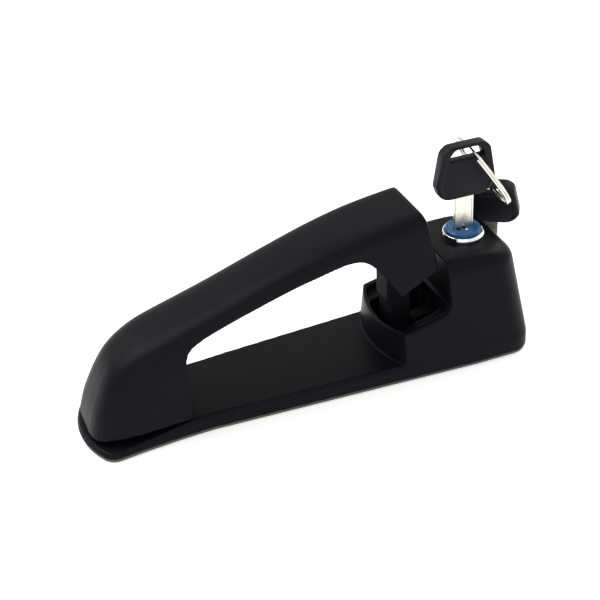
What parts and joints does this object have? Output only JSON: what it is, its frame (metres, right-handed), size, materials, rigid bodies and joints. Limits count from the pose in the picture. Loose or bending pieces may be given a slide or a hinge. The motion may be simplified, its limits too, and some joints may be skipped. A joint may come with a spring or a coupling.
{
  "type": "door handle latch",
  "caption": "Black moulded pull handle on a long base, hinged at its foot, with a release lever and a key lock in the raised end housing.",
  "frame": {"origin": "midway between the two threaded inserts, on the mounting face", "axes": "+X along the base towards the lock, +Z out of the door towards the hand, +Y across the base"},
  "size_m": [0.2167, 0.0584, 0.0978],
  "materials": {
    "moulded_black": "fine satin grain",
    "core_black": "black coated steel",
    "gasket_rubber": "matt",
    "brass": "machined",
    "steel": "zinc plated",
    "zinc": "die cast",
    "chrome": "polished",
    "bush_polymer": "smooth",
    "face_blue": "glossy",
    "key_black": "fine satin grain",
    "key_nickel": "nickel plated"
  },
  "bodies": {
    "base": {"base_housing": "moulded_black", "base_gasket": "gasket_rubber", "mount_inserts": "brass", "grip_pivot_pin": "steel", "pivot_clips": "steel", "release_lever_pin": "steel", "lever_clips": "steel", "grip_bumper": "gasket_rubber", "lock_body": "zinc", "lock_bezel": "chrome", "lock_nut": "steel", "grip_return_spring": "steel", "lever_return_spring": "steel"},
    "grip": {"grip_shell": "moulded_black", "grip_core": "core_black", "grip_screws": "steel", "pivot_bushes": "bush_polymer"},
    "lever": {"release_lever": "steel"},
    "plug": {"lock_plug": "brass", "plug_wafers": "brass", "plug_face": "face_blue", "lock_tailpiece": "steel", "tailpiece_screw": "steel"},
    "key": {"key_head": "key_black", "key_blade": "key_nickel"},
    "ring": {"key_ring": "key_nickel"},
    "spare": {"spare_key_head": "key_black", "spare_key_blade": "key_nickel"}
  },
  "joints": [
    {"name": "grip_pull", "type": "hinge", "parent": "base", "child": "grip", "pos_m": [-0.079, 0, 0.0135], "axis": [0, -1, 0], "range_deg": [0, 5], "stiffness_Nm_per_rad": 2, "springref_deg": -8.59},
    {"name": "lever_lift", "type": "hinge", "parent": "base", "child": "lever", "pos_m": [0.0824, 0, 0.016], "axis": [0, 1, 0], "range_deg": [0, 27.01]},
    {"name": "plug_turn", "type": "hinge", "parent": "base", "child": "plug", "pos_m": [0.0792, 0, 0.045], "axis": [0, 0, -1], "range_deg": [0, 90]},
    {"name": "key_slide", "type": "slide", "parent": "plug", "child": "key", "axis": [0, 0, 1], "range_m": [0, 0.024]},
    {"name": "ring_swing", "type": "hinge", "parent": "key", "child": "ring", "pos_m": [0.0817, 0, 0.0935], "axis": [0.5227, 0.8525, 0], "range_deg": [-3, 3]},
    {"name": "spare_swing", "type": "hinge", "parent": "ring", "child": "spare", "pos_m": [0.10039, 0.01109, 0.06415], "axis": [0.4912, 0.8011, 0.342], "range_deg": [-3, 3]}
  ],
  "couplings": [
    {"joint": "lever_lift", "follows": "grip_pull", "ratio": 5.4}
  ]
}
